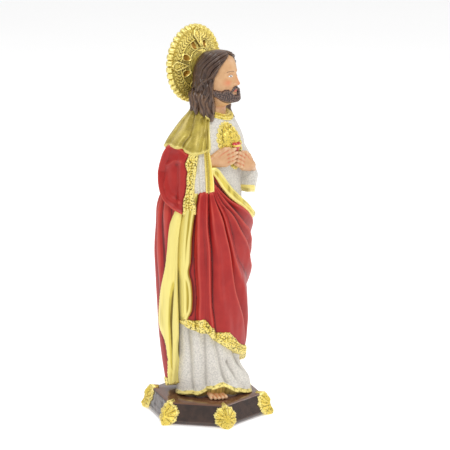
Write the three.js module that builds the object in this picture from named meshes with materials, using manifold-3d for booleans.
// A painted resin statuette, about 300 mm tall: a standing bearded man in a white tunic and a red,
// gold-lined mantle, with a gold disc halo behind the head, on a brown six-sided plinth with gold leaves.
// Sizes are in millimetres and angles in degrees. The figure faces -Y, its right side is at -X, and +Z is up.
// The origin is the centre of the plinth's underside.
// Angles round the figure start at the front and grow towards its left side, so -90 is its right side.

import * as THREE from "three";
import { mergeVertices } from "three/addons/utils/BufferGeometryUtils.js";
import Module from "manifold-3d";

const wasm = await Module();
wasm.setup();

const PLINTH = {
  corners: 6,
  firstCorner: 30,
  profile: [[0, 45.5], [1, 47.6], [3.4, 49.2], [13, 44.8], [15.4, 43.6], [16.5, 42]], // height, corner radius
};
const PLINTH_TOP = 16.5;

const LEAVES = {
  lobes: 7,
  fan: 258, // how far the lobes spread, the gap is below
  reach: 9.2,
  notch: 0.2,
  centreHeight: 7.8,
  width: 1.06, // the cluster's width for its height
  proud: 3.4,
  sunk: 5,
  lean: 4.4, // how much the plinth's corner comes in over its height
};

const HALO = {
  radius: 29.6,
  height: 270.4,
  teeth: 36,
  toothDip: 1.2,
  rimY: 12.2,
  face: [[0, -9.4], [7, -8.4], [15, -5], [20, -3], [25, -1.2], [27.4, -1.9], [29.6, -0.4]], // radius, depth from the rim
  thickness: 2,
  dimples: 8,
  dimpleRing: 15.5,
  dimpleRadius: 2.3,
  dimpleDepth: 1,
  rays: [-90, 0, 90],
  rayFrom: 12,
  rayWidest: 22,
  rayTo: 29.2,
  rayHalfWidth: 4.2,
  rayProud: 1.6,
};

const HALO_GAP = 0.7;

const HEAD = { x: 0, y: -12.4, turn: 15, eyes: 264, crown: 281 };

// The cloth follows ovals: height, centre x, centre y, half width, front depth, back depth.
const TUNIC = [
  [16.5, 1.5, -1, 22.5, 27, 22], [24, 1.5, -1, 22.5, 26.5, 22], [34, 0.5, 0, 23.5, 24.5, 22],
  [50, 0, 0.5, 26.5, 25, 24], [80, -1, 1, 30, 26, 26], [120, -1, 1, 31, 26, 26],
  [150, -1, 0, 30, 25, 25], [170, 0, -1, 27, 24, 22], [185, 0, -3, 27, 22, 19],
  [198, 0, -4, 28.5, 21, 18], [210, 0, -4.5, 29.5, 20.5, 18], [218, 0, -5, 26.5, 19, 17],
  [225, 0, -6, 21.5, 16.5, 15], [231, 0, -7.5, 16, 13.5, 12.5], [235, 0, -9, 11, 10.5, 10.5],
  [239, 0, -10.5, 8.8, 8.6, 8.6],
];
const MANTLE = [
  [18, -1.5, 2, 28.5, 25.5, 26.5], [40, -1.5, 2, 32.5, 28.5, 29.5], [60, -1.5, 2.5, 35, 30, 31],
  [90, -1.5, 3, 37, 33.5, 31.5], [112, -1.5, 3, 38, 34.5, 32.5], [130, -1.5, 3, 38.5, 34.5, 33],
  [150, -1.5, 2, 38, 35, 33], [165, -1, 1, 37, 34.5, 34], [180, 0, 0, 33, 31, 30],
  [196, 0, -2, 32, 29, 26], [212, 0, -4, 31, 23, 23], [224, 0, -5, 26, 20, 21],
  [232, 0, -6, 20, 17, 18.5], [240, 0, -7, 14.5, 13, 14.5],
];
const DRAPE = [
  [160, -4, 2, 34.5, 30, 30], [175, -4, 2, 36, 30, 31], [190, -4, 1, 35.5, 30, 30],
  [205, -4, 0, 34, 29, 28], [215, -4, -1, 32, 27, 26],
];
const CAPELET = [
  [204, -4, -1, 35, 27.5, 28], [214, -3.5, -2, 33, 25.5, 25.5], [222, -2.5, -3, 27.5, 22.5, 23],
  [230, -1.5, -4.5, 20.5, 18, 20.5], [236, -1, -5.5, 15.5, 14.5, 16.5], [243, -0.5, -6, 11.5, 12, 14],
];
const LEFT_SLEEVE = [
  [170, 2, -3, 34, 28.5, 20], [176, 2, -3, 35.5, 30, 20], [186, 2, -3, 36.5, 31, 20],
  [198, 2, -3, 34, 26, 20], [210, 1, -4, 29.5, 20.5, 18], [220, 0, -5, 24.5, 17.5, 16],
];

// Edges of the cloth: angle round the figure, height.
const MANTLE_BOTTOM = [
  [-76, 81], [-70, 76], [-57, 72], [-42, 70], [-38, 67], [-28, 62.5], [-12, 57], [11, 50], [30, 46],
  [60, 38], [90, 31], [120, 26], [150, 22], [180, 20], [215, 19], [256, 18],
];
const MANTLE_TOP = [
  [-72, 172], [-60, 187], [-50, 194], [-42, 197], [-35, 196], [-28, 191.5], [-15, 182.5], [3, 173],
  [17, 166.5], [29, 161], [44, 157.5], [70, 153.5], [95, 156], [115, 172], [130, 195], [145, 214], [160, 228],
  [180, 237], [256, 237],
];
const MANTLE_BACK_EDGE = [
  [18, -92], [30, -88], [45, -84], [60, -83], [71, -80.5], [88, -79], [120, -79], [150, -78], [163, -76],
];
const MANTLE_FRONT_EDGE = -72;
const DRAPE_BOTTOM = [
  [-165, 200], [-150, 186], [-135, 178], [-120, 174], [-100, 170.5], [-84, 165.5], [-74, 163], [-59, 163],
];
const DRAPE_FRONT_EDGE = [[163, -55], [168.5, -55], [175, -58], [185, -58], [199, -56], [215, -56]];
const CAPELET_BOTTOM = [
  [-205, 214], [-190, 207], [-165, 204.5], [-140, 207], [-120, 210.5], [-102, 212.5], [-89, 211.5],
  [-82, 211], [-75, 209.5], [-67, 207.8], [-60, 208], [-52, 209], [-44, 211],
];
const CAPELET_TOP = [[-205, 236], [-170, 242], [-127, 241.5], [-86, 241.5], [-67, 238.5], [-44, 233]];
const CAPELET_FRONT_EDGE = [[210, -40], [216, -41], [224, -45], [231, -49], [240, -50]];
const SLEEVE = { from: -66, to: -41, bottom: 177, top: 211, outside: 1.6 };
const LEFT_SLEEVE_BOTTOM = [[32, 175], [44, 171.5], [60, 170.5], [85, 174], [112, 187]];
const BAND = { from: -44, to: 112, widths: [10, 6.5], proud: 3.2, tuck: 2 };

// The valleys between the mantle's front folds, as height and angle, from its right side to its left side.
const FRONT_VALLEYS = [
  [[50, -80], [200, -80]],
  [[50, -57], [86, -57], [98, -56], [121.5, -58], [145.5, -59], [157, -59], [174, -61]],
  [[50, -42], [85.5, -44], [109.5, -45], [133.5, -46], [157, -49], [174, -51]],
  [[50, -24], [70, -30], [81, -32], [91.5, -35], [115.5, -37], [133, -38], [157, -43], [174, -45], [190, -47]],
  [[50, 42], [75, 22], [97, 2], [113, -6], [131, -11], [147, -19], [159, -25], [173.5, -36]],
  [[50, 88], [75, 68], [103.5, 45], [115, 24], [126, 8], [146, -7], [164.5, -21], [173.5, -32]],
  [[50, 125], [80, 96], [100, 70], [118, 45], [135, 28], [147, 8], [160.5, -9], [170.5, -25]],
  [[50, 160], [85, 118], [108, 86], [128, 56], [144.5, 32], [152.5, 14], [163.5, -6], [172, -20]],
  [[50, 190], [90, 150], [112, 112], [135, 78], [150, 50], [158, 30], [166, 8], [172, -12]],
  [[50, 230], [172, 180]],
];
const FRONT_FOLD_CRESTS = [0.5, 0.4, 0.68, 0.72, 0.38, 0.66, 0.66, 0.6, 0.5]; // where each fold is highest
const SOFT_VALLEY = { index: 2, share: 0.35 };
const FRONT_FOLDS = { depth: 3.2, perDegree: 0.17 };
const MM_PER_DEGREE = 0.55; // along the surface of the mantle

// Folds fan out from a gathered spot on the cloth.
const BACK_FAN = { angle: 218, height: 268, valleys: [-18, -13, -8.6, -4, 0.4, 5, 10, 15, 21, 28], depth: 2.2, starts: 20, full: 95 };
const FAN_SEAM = [88, 124]; // the front folds turn into the back folds between these angles
const TUNIC_PLEATS = { count: 12, depth: 1.3, fades: [60, 110] };
const TUNIC_FLARE = { angle: 40, wide: 34, out: 7.4, from: 42, to: 25 };
const TUNIC_HEM = [
  [-180, 16.5], [-120, 16.5], [-105, 17.5], [-56, 21], [-51, 23], [-28, 25.5], [-15, 24], [-2, 20.5], [25, 17], [60, 16.5],
  [180, 16.5],
];
const CAPELET_PLEATS = { pitch: 27, depth: 1.3, fades: [240, 222] };
const DRAPE_HOLLOW = { angle: -97, height: 186, wide: 11, high: 15, depth: 2.4 };

const HAIR_EDGE = [
  [229, 76], [236, 78], [243, 78], [250, 80], [258, 80], [264, 77], [270, 62], [275, 44], [279, 20], [282, 3],
];
const HAIR_BOTTOM = [[0, 233], [11, 231], [34, 237], [60, 240.5], [90, 244], [113, 242.5], [150, 240.5], [180, 241]];
const HAIR_OVAL = [
  [229, -0.5, 17, 14, 19], [236, -0.2, 17, 14.5, 20.5], [244, 0, 16.2, 15.5, 20.5], [254, 0, 16, 15.6, 20],
  [264, 0, 15.8, 15.6, 19.4], [272, 0, 14.4, 14.6, 17.6], [278, 0, 11.4, 12, 13.6], [281.5, 0, 7.4, 8, 8.6],
  [283, 0, 1.4, 1.6, 1.6],
];
const LOCKS = [
  [[-12.4, -12.6, 250, 3.6], [-13.2, -13.4, 243, 3.8], [-13.8, -14.6, 237, 3.2], [-13.2, -15.8, 230.8, 1.2]],
  [[12.6, -9, 250, 3.8], [12.8, -8.6, 243, 4], [13.6, -9.8, 236, 3.4], [15.4, -13, 229.4, 1.3]],
];
const HAIR_LOCKS = { pitch: 12, depth: 1.1 };
const FACE_OVAL = [
  [232, -2.6, 8.8, 8.2, 8], [240.5, -2.6, 8.2, 7.8, 8], [243, 0.8, 8.6, 10.6, 8], [246, 1.6, 10, 12.2, 9],
  [252, 0, 11.2, 13.6, 12], [258, 0, 12, 13.6, 15], [266, 0, 12.2, 13.9, 16], [273, 0, 11.2, 13, 14],
  [278, 0, 8, 9.6, 10], [282.8, 0, 2, 2.4, 2.4],
];
const NOSE = { tip: 259.5, top: 266, bottom: 257.5, proud: 3.6, halfAngle: 11 };
const BEARD = { low: 242, high: 256, proud: 2.2, chin: 246.5 };

const EMBLEM = { z: 213, halfWidth: 13.6, halfHeight: 17, lobes: 16, notch: 0.12, proud: 1.8, sunk: 4 };
const HEART = { x: 1, z: 207.5, size: 4.6, proud: 3.4 };

const FINGER_RADIUS = 1.45;
const RIGHT_HAND = {
  wrist: [-20.4, -20, 202], elbow: [-22, -4, 194], knuckle: [-11.5, -27.4, 203.6], tip: [-2.4, -30.2, 205.6],
  stack: [0.35, -0.25, -3.1], curl: [-0.9, 0.4, 0.1], thumb: [[-17, -25, 207], [-10.5, -28, 210.4], [-6.5, -28.6, 209.8]],
};
const LEFT_HAND = {
  wrist: [23, -26.6, 195], elbow: [29, -6, 190], knuckle: [11.5, -30.2, 203.4], tip: [1.4, -30.2, 205.4],
  stack: [0.9, -0.1, -2.9], curl: [1, 0.2, 0.1], thumb: [[17, -28, 202.6], [11, -29.6, 208.4], [6.4, -29.6, 209.2]],
};
const FOOT = { heel: [-8, -12], toe: [-14, -25], width: 9.5, height: 7, toes: 5, toeRadius: 1.35 };

const radians = (degrees) => (degrees * Math.PI) / 180;
const clamp = (x) => Math.min(1, Math.max(0, x));
const mix = (a, b, t) => a + (b - a) * t;
const ease = (from, to, x) => {
  const t = clamp((x - from) / (to - from));
  return t * t * (3 - 2 * t);
};

// The smooth curve through rows of [key, value, value, ...], flat beyond its ends.
function along(rows, key) {
  const last = rows.length - 1;
  if (key <= rows[0][0]) return rows[0].slice(1);
  if (key >= rows[last][0]) return rows[last].slice(1);
  let i = 0;
  while (rows[i + 1][0] < key) i++;
  const [a, b] = [rows[i], rows[i + 1]];
  const before = rows[Math.max(i - 1, 0)];
  const after = rows[Math.min(i + 2, last)];
  const step = b[0] - a[0];
  const t = (key - a[0]) / step;
  return a.slice(1).map((_, n) => {
    const k = n + 1;
    const slopeIn = ((b[k] - before[k]) / (b[0] - before[0])) * step;
    const slopeOut = ((after[k] - a[k]) / (after[0] - a[0])) * step;
    const start = (2 * t ** 3 - 3 * t ** 2 + 1) * a[k] + (t ** 3 - 2 * t ** 2 + t) * slopeIn;
    return start + (-2 * t ** 3 + 3 * t ** 2) * b[k] + (t ** 3 - t ** 2) * slopeOut;
  });
}

// The point at an angle on an oval ring, pushed out by a relief.
function onOval(angle, z, [cx, cy, half, front, back], relief = 0) {
  const [s, c] = [Math.sin(radians(angle)), Math.cos(radians(angle))];
  const depth = c > 0 ? front : back;
  const r = 1 / Math.hypot(s / half, c / depth) + relief;
  return [cx + r * s, cy - r * c, z];
}

function toSolid(points, faces) {
  let volume = 0;
  for (const [a, b, c] of faces) {
    const [p, q, r] = [points[a], points[b], points[c]].map((v) => new THREE.Vector3(...v));
    volume += p.dot(q.cross(r));
  }
  const ordered = volume < 0 ? faces.map(([a, b, c]) => [a, c, b]) : faces;
  const geometry = new THREE.BufferGeometry();
  geometry.setAttribute("position", new THREE.Float32BufferAttribute(points.flat(), 3));
  geometry.setIndex(ordered.flat());
  return solidOf(geometry);
}

function solidOf(geometry) {
  geometry.deleteAttribute("normal");
  geometry.deleteAttribute("uv");
  const merged = mergeVertices(geometry, 1e-4);
  const vertProperties = merged.attributes.position.array;
  const triVerts = new Uint32Array(merged.index.array);
  return new wasm.Manifold(new wasm.Mesh({ numProp: 3, vertProperties, triVerts }));
}

// A closed solid between an outer and an inner sheet, each a function of u and v from 0 to 1.
function slab(columns, rows, outer, inner) {
  const points = [];
  for (const sheet of [outer, inner]) {
    for (let j = 0; j <= rows; j++) {
      for (let i = 0; i <= columns; i++) points.push(sheet(i / columns, j / rows));
    }
  }
  const at = (side, i, j) => side * (columns + 1) * (rows + 1) + j * (columns + 1) + i;
  const faces = [];
  const quad = (a, b, c, d) => faces.push([a, b, c], [a, c, d]);
  for (let j = 0; j < rows; j++) {
    for (let i = 0; i < columns; i++) {
      quad(at(0, i, j), at(0, i + 1, j), at(0, i + 1, j + 1), at(0, i, j + 1));
      quad(at(1, i, j), at(1, i, j + 1), at(1, i + 1, j + 1), at(1, i + 1, j));
    }
    quad(at(0, 0, j), at(0, 0, j + 1), at(1, 0, j + 1), at(1, 0, j));
    quad(at(0, columns, j), at(1, columns, j), at(1, columns, j + 1), at(0, columns, j + 1));
  }
  for (let i = 0; i < columns; i++) {
    quad(at(0, i, 0), at(1, i, 0), at(1, i + 1, 0), at(0, i + 1, 0));
    quad(at(0, i, rows), at(0, i + 1, rows), at(1, i + 1, rows), at(1, i, rows));
  }
  return toSolid(points, faces);
}

// A closed solid through rings of points, with a fan of faces at each end.
function loft(rings) {
  const count = rings[0].length;
  const points = rings.flat();
  const faces = [];
  for (let j = 0; j + 1 < rings.length; j++) {
    for (let i = 0; i < count; i++) {
      const [a, b] = [j * count + i, j * count + ((i + 1) % count)];
      faces.push([a, b, b + count], [a, b + count, a + count]);
    }
  }
  for (const [ring, base, turn] of [[rings[0], 0, 1], [rings.at(-1), (rings.length - 1) * count, 0]]) {
    const middle = [0, 1, 2].map((k) => ring.reduce((sum, p) => sum + p[k], 0) / count);
    points.push(middle);
    for (let i = 0; i < count; i++) {
      const pair = [base + i, base + ((i + 1) % count)];
      faces.push([...(turn ? pair.reverse() : pair), points.length - 1]);
    }
  }
  return toSolid(points, faces);
}

const ring = (count, point) => Array.from({ length: count }, (_, i) => point((i * 360) / count));

// A round tapered limb through stops of [x, y, z, radius].
function limb(stops, sides) {
  const middles = stops.map((s) => new THREE.Vector3(s[0], s[1], s[2]));
  const rings = stops.map(([x, y, z, radius], i) => {
    const ahead = middles[Math.min(i + 1, stops.length - 1)];
    const along = ahead.clone().sub(middles[Math.max(i - 1, 0)]).normalize();
    const side = new THREE.Vector3(0, 0, 1).cross(along).normalize();
    const up = along.clone().cross(side);
    return ring(sides, (angle) => {
      const offset = side.clone().multiplyScalar(Math.cos(radians(angle)) * radius);
      offset.addScaledVector(up, Math.sin(radians(angle)) * radius);
      return [x + offset.x, y + offset.y, z + offset.z];
    });
  });
  return loft(rings);
}

const joined = (solids) => solids.reduce((whole, part) => whole.add(part));

// The solid without its sealed hollows.
const filled = (solid) => joined(solid.decompose().filter((body) => body.volume() > 0));

// Round ridges with sharp valleys between them, from -0.6 to 0.4.
const ridges = (x) => Math.abs(Math.sin(Math.PI * x)) ** 0.75 - 0.6;

// The valley lines at a height, and the relief between them.
function frontFolds(angle, z) {
  const valleys = FRONT_VALLEYS.map((rows) => along(rows, z)[0]);
  const next = Math.min(Math.max(valleys.findIndex((valley) => valley > angle), 1), valleys.length - 1);
  const width = valleys[next] - valleys[next - 1];
  const phase = clamp((angle - valleys[next - 1]) / width) ** (Math.log(0.5) / Math.log(FRONT_FOLD_CRESTS[next - 1]));
  const floor = (n) => (n === SOFT_VALLEY.index ? SOFT_VALLEY.share : 1);
  const rise = Math.sin(Math.PI * phase) ** 0.7;
  const depth = Math.min(FRONT_FOLDS.depth, FRONT_FOLDS.perDegree * width);
  return depth * (0.4 * rise - 0.6 * mix(floor(next - 1), floor(next), phase) * (1 - rise));
}

function fanRelief({ angle, height, valleys, depth, starts, full }, at, z) {
  const across = (at - angle) * MM_PER_DEGREE;
  const down = Math.max(height - z, 0.5);
  const direction = (Math.atan2(across, down) * 180) / Math.PI;
  const next = Math.max(valleys.findIndex((valley) => valley > direction), 1);
  const phase = clamp((direction - valleys[next - 1]) / (valleys[next] - valleys[next - 1]));
  return depth * ease(starts, full, Math.hypot(across, down)) * ridges(phase);
}

function mantleRelief(angle, z) {
  const share = ease(FAN_SEAM[0], FAN_SEAM[1], angle);
  return mix(frontFolds(angle, z), fanRelief(BACK_FAN, angle, z), share);
}

function tunicRelief(angle, z) {
  const grown = 1 - ease(TUNIC_PLEATS.fades[0], TUNIC_PLEATS.fades[1], z);
  const flare = TUNIC_FLARE.out * Math.exp(-(((angle - TUNIC_FLARE.angle) / TUNIC_FLARE.wide) ** 2));
  const spread = flare * ease(TUNIC_FLARE.from, TUNIC_FLARE.to, z);
  return TUNIC_PLEATS.depth * grown * ridges((angle / 360) * TUNIC_PLEATS.count) + spread;
}

function tunic() {
  const heights = [PLINTH_TOP, 28, 40, 80, 130, 176, 190, 202, 212, 220, 227, 232, 236, 239];
  const columns = 32;
  const wall = (height, inwards) => (turned) => {
    const angle = turned > 180 ? turned - 360 : turned;
    const z = Math.max(height, along(TUNIC_HEM, angle)[0]);
    const shown = inwards ? PLINTH_TOP : z;
    return onOval(angle, shown, along(TUNIC, z), tunicRelief(angle, z) - inwards);
  };
  const rings = [ring(columns, wall(PLINTH_TOP, 4)), ...heights.map((z) => ring(columns, wall(z, 0)))];
  return loft(rings);
}

function mantle() {
  const full = MANTLE_BOTTOM.at(-1)[0] - MANTLE_FRONT_EDGE;
  const place = (evenly, v) => {
    const u = evenly < 0.56 ? evenly * 0.72 : 1 - (1 - evenly) * 1.356;
    const nominal = MANTLE_FRONT_EDGE + full * u;
    const low = along(MANTLE_BOTTOM, nominal)[0];
    const z = mix(low, along(MANTLE_TOP, nominal)[0], v);
    const edge = along(MANTLE_BACK_EDGE, z)[0] + 360;
    return [nominal + (edge - 256) * ease(0.72, 1, u), z];
  };
  const outer = (u, v) => {
    const [angle, z] = place(u, v);
    return onOval(angle, z, along(MANTLE, z), mantleRelief(angle, z));
  };
  const inner = (u, v) => {
    const [angle, z] = place(u, v);
    return onOval(angle, z, along(TUNIC, z), -4);
  };
  return slab(48, 9, outer, inner);
}

// The mantle's gold upper edge, rolled over across the front.
function band() {
  const place = (u, v) => {
    const angle = mix(BAND.from, BAND.to, u);
    return [angle, along(MANTLE_TOP, angle)[0] + 0.8 - mix(BAND.widths[0], BAND.widths[1], ease(0, 0.45, u)) * v];
  };
  const outer = (u, v) => {
    const [angle, z] = place(u, v);
    const bulge = BAND.proud * Math.sin(Math.PI * mix(0.18, 0.94, v)) * Math.sqrt(Math.sin(Math.PI * mix(0.04, 0.96, u)));
    return onOval(angle, z, along(MANTLE, z), bulge);
  };
  const inner = (u, v) => {
    const [angle, z] = place(u, v);
    return onOval(angle, z, along(MANTLE, z), -BAND.tuck - 3);
  };
  return slab(16, 3, outer, inner);
}

// The part of the mantle that hangs over the right upper arm and elbow, like a wide sleeve.
function drape() {
  const place = (u, v) => {
    const nominal = mix(-165, -59, u);
    const z = mix(along(DRAPE_BOTTOM, nominal)[0], 215, v);
    return [nominal + (along(DRAPE_FRONT_EDGE, z)[0] + 59) * u ** 2, z];
  };
  const outer = (u, v) => {
    const [angle, z] = place(u, v);
    const [across, up] = [(angle - DRAPE_HOLLOW.angle) / DRAPE_HOLLOW.wide, (z - DRAPE_HOLLOW.height) / DRAPE_HOLLOW.high];
    const hollow = -DRAPE_HOLLOW.depth * Math.exp(-(across ** 2) - up ** 2);
    const tucked = -5 * (1 - ease(0, 0.16, u));
    return onOval(angle, z, along(DRAPE, z), hollow + tucked);
  };
  const inner = (u, v) => {
    const [angle, z] = place(u, v);
    return onOval(angle, z, along(TUNIC, z), -5);
  };
  return slab(12, 5, outer, inner);
}

// The tunic's sleeve, seen in the mouth of the red drape.
function sleeve() {
  const outer = (u, v) => {
    const angle = mix(SLEEVE.from, SLEEVE.to, u);
    const z = mix(SLEEVE.bottom, SLEEVE.top, v);
    const oval = [-2, -1, 32 - 1.2 * u, 27, 27];
    return onOval(angle, z, oval, SLEEVE.outside * Math.sin(Math.PI * v) - 1.5 * ease(0.55, 1, v));
  };
  const inner = (u, v) => {
    const z = mix(SLEEVE.bottom, SLEEVE.top, v);
    return onOval(mix(SLEEVE.from, SLEEVE.to, u), z, along(TUNIC, z), -5);
  };
  return slab(4, 5, outer, inner);
}

function leftSleeve() {
  const place = (u, v) => {
    const angle = mix(32, 112, u);
    return [angle, mix(along(LEFT_SLEEVE_BOTTOM, angle)[0], 220, v)];
  };
  const outer = (u, v) => {
    const [angle, z] = place(u, v);
    const tucked = -6 * ease(0.8, 1, u) - 9 * (1 - ease(0, 0.3, u)) * ease(186, 206, z);
    return onOval(angle, z, along(LEFT_SLEEVE, z), tucked);
  };
  const inner = (u, v) => {
    const [angle, z] = place(u, v);
    return onOval(angle, z, along(TUNIC, z), -5);
  };
  return slab(11, 6, outer, inner);
}

// The gold lining turned out over the right shoulder and the back of the neck.
function capelet() {
  const place = (u, v) => {
    const nominal = mix(-205, -44, u);
    const z = mix(along(CAPELET_BOTTOM, nominal)[0], along(CAPELET_TOP, nominal)[0], v);
    return [nominal + (along(CAPELET_FRONT_EDGE, z)[0] + 44) * u ** 3, z];
  };
  const outer = (u, v) => {
    const [angle, z] = place(u, v);
    const grown = 1 - ease(CAPELET_PLEATS.fades[1], CAPELET_PLEATS.fades[0], z);
    const pleats = CAPELET_PLEATS.depth * grown * ridges(angle / CAPELET_PLEATS.pitch);
    return onOval(angle, z, along(CAPELET, z), pleats + 0.8);
  };
  const inner = (u, v) => {
    const [angle, z] = place(u, v);
    return onOval(angle, z, along(TUNIC, z), -4);
  };
  return slab(22, 4, outer, inner);
}

// Angles on the head start at the face, which is turned a little to the figure's left.
function onHead(angle, z, [forward, half, front, back], relief = 0) {
  const turn = radians(HEAD.turn);
  const [x, y] = onOval(angle, z, [0, -forward, half, front, back], relief);
  return [HEAD.x + x * Math.cos(turn) - y * Math.sin(turn), HEAD.y + x * Math.sin(turn) + y * Math.cos(turn), z];
}

function faceRelief(angle, z) {
  const side = Math.abs(angle);
  const ridge = z > NOSE.tip ? 1 - ease(NOSE.tip, NOSE.top, z) : ease(NOSE.bottom, NOSE.tip, z);
  const nose = NOSE.proud * ridge * (1 - ease(0, NOSE.halfAngle, side));
  const socket = -1.3 * Math.exp(-(((side - 24) / 11) ** 2) - ((z - HEAD.eyes) / 2.4) ** 2);
  const jaw = ease(BEARD.low - 1, BEARD.chin, z) * (1 - ease(BEARD.chin + 1, mix(BEARD.chin + 4, BEARD.high, clamp(side / 60)), z));
  const beard = BEARD.proud * jaw * (1 - ease(66, 92, side));
  return nose + socket + beard;
}

function face() {
  const heights = [232, 241, 245, 249, 253, 257.5, 259.5, 264, 267, 272, 278, 282.8];
  const columns = 24;
  const rings = heights.map((z) =>
    ring(columns, (turned) => {
      const t = turned / 180 - 1;
      const angle = 180 * (0.5 * t + 0.5 * t ** 3);
      return onHead(angle, z, along(FACE_OVAL, z), faceRelief(angle, z));
    }),
  );
  return loft(rings);
}

function hair() {
  const place = (u, v) => {
    const side = 2 * u - 1;
    const low = along(HAIR_BOTTOM, 180 * (1 - Math.abs(side)))[0];
    const z = mix(low, 283, v);
    const edge = along(HAIR_EDGE, z)[0];
    return [180 + side * (180 - edge), z];
  };
  const outer = (u, v) => {
    const [angle, z] = place(u, v);
    const locks = HAIR_LOCKS.depth * ridges(angle / HAIR_LOCKS.pitch) * (1 - ease(272, 283, z));
    const rolled = 1.6 * ease(0, 0.05, Math.min(u, 1 - u)) - 1.6;
    return onHead(angle, z, along(HAIR_OVAL, z), locks + rolled);
  };
  const inner = (u, v) => {
    const [angle, z] = place(u, v);
    return onHead(angle, Math.min(z, 280), along(FACE_OVAL, z), -2);
  };
  return slab(24, 8, outer, inner);
}

// Two locks that hang forward over the shoulders.
function frontLocks() {
  return joined(LOCKS.map((stops) => limb(stops, 6)));
}

function hand({ wrist, elbow, knuckle, tip, stack, curl, thumb }) {
  const shifted = (p, n, extra = 0) => p.map((v, k) => v + stack[k] * n + curl[k] * extra * n);
  const parts = [limb([[...elbow, 6], [...wrist, 4.6]], 8)];
  for (let n = 0; n < 4; n++) {
    const root = shifted(knuckle, n);
    const end = shifted(tip, n, n < 2 ? 0.6 : 1);
    const half = root.map((v, k) => mix(v, end[k], 0.55) + (k === 1 ? -0.8 : 0));
    const palm = wrist.map((v, k) => v + stack[k] * (n - 1.5) * 0.75);
    const radius = FINGER_RADIUS + 0.25;
    parts.push(limb([[...palm, 2.6], [...root, radius + 0.3], [...half, radius], [...end, radius * 0.7]], 5));
  }
  const radii = [2.2, 1.7, 1.2];
  parts.push(limb(thumb.map((p, i) => [...p, radii[i]]), 6));
  return joined(parts);
}

function foot() {
  const { heel, toe, width, height, toes, toeRadius } = FOOT;
  const length = Math.hypot(toe[0] - heel[0], toe[1] - heel[1]);
  const [fx, fy] = [(toe[0] - heel[0]) / length, (toe[1] - heel[1]) / length];
  const at = (forward, side, z) => [heel[0] + fx * forward - fy * side, heel[1] + fy * forward + fx * side, z];
  const section = (forward, half, top) =>
    [[-half, 0.2], [-half * 0.9, top * 0.6], [0, top], [half * 0.9, top * 0.6], [half, 0.2]].map(([side, z]) =>
      at(forward, side, PLINTH_TOP + z),
    );
  const parts = [loft([section(0, width * 0.42, height), section(length * 0.8, width * 0.5, height * 0.55)])];
  for (let n = 0; n < toes; n++) {
    const side = mix(-1, 1, n / (toes - 1)) * (width / 2 - toeRadius * 0.6);
    const reach = length * (0.92 + 0.12 * Math.cos(radians(50 * (n - 1.2))));
    const low = PLINTH_TOP + toeRadius + 0.1;
    const tip = at(reach, side, low);
    parts.push(limb([[...at(length * 0.6, side * 0.9, low + 0.9), toeRadius], [...tip, toeRadius * 0.9]], 6));
  }
  return joined(parts);
}

// Where a point of the chest is, pushed out by a relief.
function onChest(x, z, relief) {
  const [cx, cy, half, front] = along(TUNIC, z);
  const y = cy - front * Math.sqrt(Math.max(0.05, 1 - ((x - cx) / half) ** 2));
  return [x, y - relief, z];
}

function emblem() {
  const outline = (angle) => 1 + EMBLEM.notch * (Math.abs(Math.cos((radians(angle) * EMBLEM.lobes) / 2)) - 0.6);
  const sheet = (depth) => (u, v) => {
    const angle = 360 * u;
    const reach = mix(0.3, 1, v) * outline(angle);
    const x = EMBLEM.halfWidth * reach * Math.sin(radians(angle));
    const z = EMBLEM.z + EMBLEM.halfHeight * reach * Math.cos(radians(angle));
    return onChest(x, z, depth(v));
  };
  const front = [0.2, 0.7, 1].map((v) => ring(32, (a) => sheet(() => mix(EMBLEM.proud, 0.7, v * v))(a / 360, v)));
  const back = [ring(32, (a) => sheet(() => -EMBLEM.sunk)(a / 360, 1))];
  const heart = ring(14, (a) => {
    const t = radians(a);
    const wide = 16 * Math.sin(t) ** 3;
    const high = 13 * Math.cos(t) - 5 * Math.cos(2 * t) - 2 * Math.cos(3 * t) - Math.cos(4 * t);
    return [HEART.x + (wide / 16) * HEART.size, 0, HEART.z + (high / 16) * HEART.size];
  });
  const raised = [[-3, 1], [HEART.proud - 1.4, 1], [HEART.proud, 0.55]].map(([proud, share]) =>
    heart.map(([x, , z]) => {
      const [sx, sz] = [mix(HEART.x, x, share), mix(HEART.z, z, share)];
      return [sx, onChest(HEART.x, HEART.z, proud)[1], sz];
    }),
  );
  return joined([loft([...front, ...back]), loft(raised)]);
}

function figure() {
  const cloth = [tunic(), mantle(), band(), drape(), sleeve(), leftSleeve(), capelet()];
  const body = [face(), hair(), frontLocks(), hand(RIGHT_HAND), hand(LEFT_HAND), foot(), emblem()];
  return filled(joined([...cloth, ...body]));
}

function plinthBody() {
  const { corners, firstCorner, profile } = PLINTH;
  return loft(profile.map(([z, r]) => ring(corners, (angle) => onOval(angle + firstCorner, z, [0, 0, r, r, r]))));
}

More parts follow.
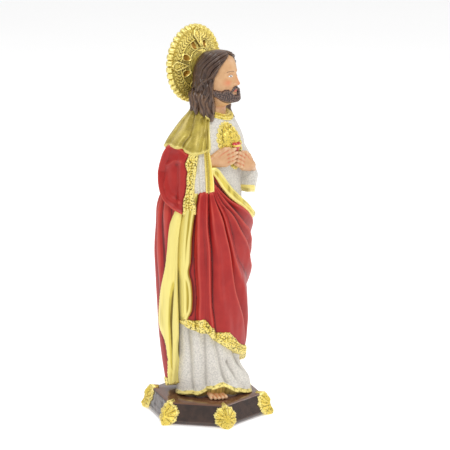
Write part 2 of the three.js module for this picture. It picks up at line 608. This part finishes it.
// One cluster of leaves, folded round a corner of the plinth.
function leafCluster(corner) {
  const { lobes, fan, reach, notch, centreHeight, width, proud, sunk, lean } = LEAVES;
  const outline = (angle) => {
    if (Math.abs(angle) > fan / 2) return 0.86 * reach;
    return reach * (1 - notch * (1 - Math.abs(Math.cos((Math.PI * angle * lobes) / fan))));
  };
  const onFace = (side, height, depth) => {
    const across = Math.min(Math.abs(side), 14);
    const [cosine, sine] = [Math.cos(radians(60)), Math.sin(radians(60))];
    const radius = 49.2 - (lean * Math.max(height - 3.4, 0)) / 9.6;
    const soft = depth * (0.72 + 0.28 * ease(5, 0, across));
    return [Math.sign(side) * across * sine, radius - across * cosine + soft, height];
  };
  const sheet = (depthAt) => (angle, v) => {
    const r = outline(angle) * v;
    const height = Math.max(centreHeight + r * Math.cos(radians(angle)), 0);
    return onFace(r * width * Math.sin(radians(angle)), height, depthAt(v));
  };
  const spokes = Array.from({ length: 2 * lobes + 1 }, (_, n) => (n / (2 * lobes) - 0.5) * fan);
  spokes.push(mix(fan / 2, 360 - fan / 2, 0.33), mix(fan / 2, 360 - fan / 2, 0.67));
  const raised = sheet((v) => proud * (1 - 0.4 * v ** 3));
  const buried = sheet(() => -sunk);
  const front = [0.3, 0.7, 1].map((v) => spokes.map((angle) => raised(angle, v)));
  const back = [spokes.map((angle) => buried(angle, 1))];
  const turned = [...front, ...back].map((points) =>
    points.map(([side, out, z]) => {
      const t = radians(corner);
      return [out * Math.sin(t) + side * Math.cos(t), -out * Math.cos(t) + side * Math.sin(t), z];
    }),
  );
  return loft(turned);
}

function plinth() {
  const clusters = Array.from({ length: PLINTH.corners }, (_, n) => leafCluster(PLINTH.firstCorner + 60 * n));
  return joined([plinthBody(), ...clusters]);
}

// A point of the halo: distance from its middle, angle from the top, depth in front of the rim.
function onHalo(r, angle, depth) {
  return [r * Math.sin(radians(angle)), HALO.rimY + depth, HALO.height + r * Math.cos(radians(angle))];
}

function haloDisc() {
  const around = HALO.teeth * 2;
  const dip = (angle, r) => (r > 26 && Math.round((angle * around) / 360) % 2 ? HALO.toothDip * ((r - 26) / 4) : 0);
  const sheet = (radii, behind) =>
    radii.map((r) => ring(around, (a) => onHalo(r - dip(a, r), a, along(HALO.face, r)[0] + behind)));
  return loft([...sheet([9, 18, 27, HALO.radius], 0), ...sheet([HALO.radius, 18, 9], HALO.thickness)]);
}

function haloRay(angle) {
  const { rayFrom, rayWidest, rayTo, rayHalfWidth, rayProud } = HALO;
  const corners = [[rayFrom, 0], [rayWidest, rayHalfWidth], [rayTo, 0], [rayWidest, -rayHalfWidth]];
  const outline = (proud, share) =>
    corners.map(([r, side]) => {
      const depth = along(HALO.face, r)[0];
      const radius = mix(rayWidest, r, share);
      return onHalo(Math.hypot(radius, side * share), angle + (Math.atan2(side * share, radius) * 180) / Math.PI, depth - proud);
    });
  return loft([outline(-1.6, 1), outline(rayProud - 0.6, 1), outline(rayProud, 0.7)]);
}

function haloDimple(angle) {
  const depth = along(HALO.face, HALO.dimpleRing)[0];
  const [cx, , cz] = onHalo(HALO.dimpleRing, angle, 0);
  const cup = (y, share) =>
    ring(7, (a) => {
      const r = HALO.dimpleRadius * share;
      return [cx + r * Math.sin(radians(a)), y, cz + r * Math.cos(radians(a))];
    });
  const face = HALO.rimY + depth;
  return loft([cup(face - 4, 1), cup(face + HALO.dimpleDepth * 0.4, 1), cup(face + HALO.dimpleDepth, 0.5)]);
}

// The boss that meets the back of the hair.
function haloBoss() {
  const outline = (y, r) => ring(12, (a) => [r * Math.sin(radians(a)), y, HALO.height - 7 + r * Math.cos(radians(a))]);
  return loft([outline(HALO.rimY - 10, 8), outline(HALO.rimY - 4, 9)]);
}

function halo() {
  let solid = joined([haloDisc(), haloBoss(), ...HALO.rays.map(haloRay)]);
  for (let n = 0; n < HALO.dimples; n++) solid = solid.subtract(haloDimple(((n + 0.5) * 360) / HALO.dimples));
  return solid.subtract(hairCast());
}

// The back of the hair without its locks and a little larger, which leaves a thin gap behind the hair.
function hairCast() {
  const relief = 0.4 * HAIR_LOCKS.depth + HALO_GAP;
  const heights = [229, 244, 256, 266, 274, 279, 283.3];
  return loft(heights.map((z) => ring(24, (angle) => onHead(angle, z, along(HAIR_OVAL, z), relief))));
}

function meshOf(name, solid, material) {
  const made = solid.getMesh();
  const geometry = new THREE.BufferGeometry();
  geometry.setAttribute("position", new THREE.BufferAttribute(new Float32Array(made.vertProperties), 3));
  geometry.setIndex(new THREE.BufferAttribute(new Uint32Array(made.triVerts), 1));
  geometry.computeVertexNormals();
  const mesh = new THREE.Mesh(geometry, material);
  mesh.name = name;
  return mesh;
}

const paintedRed = new THREE.MeshStandardMaterial({ color: 0xb8352f, roughness: 0.45, metalness: 0 });
const gold = new THREE.MeshStandardMaterial({ color: 0xd9c24a, roughness: 0.4, metalness: 0.6 });
const brown = new THREE.MeshStandardMaterial({ color: 0x3d2a26, roughness: 0.3, metalness: 0 });

const statuette = new THREE.Group();
statuette.add(meshOf("figure", figure(), paintedRed));
statuette.add(meshOf("halo", halo(), gold));
statuette.add(meshOf("plinth", plinth(), brown));

export default statuette;
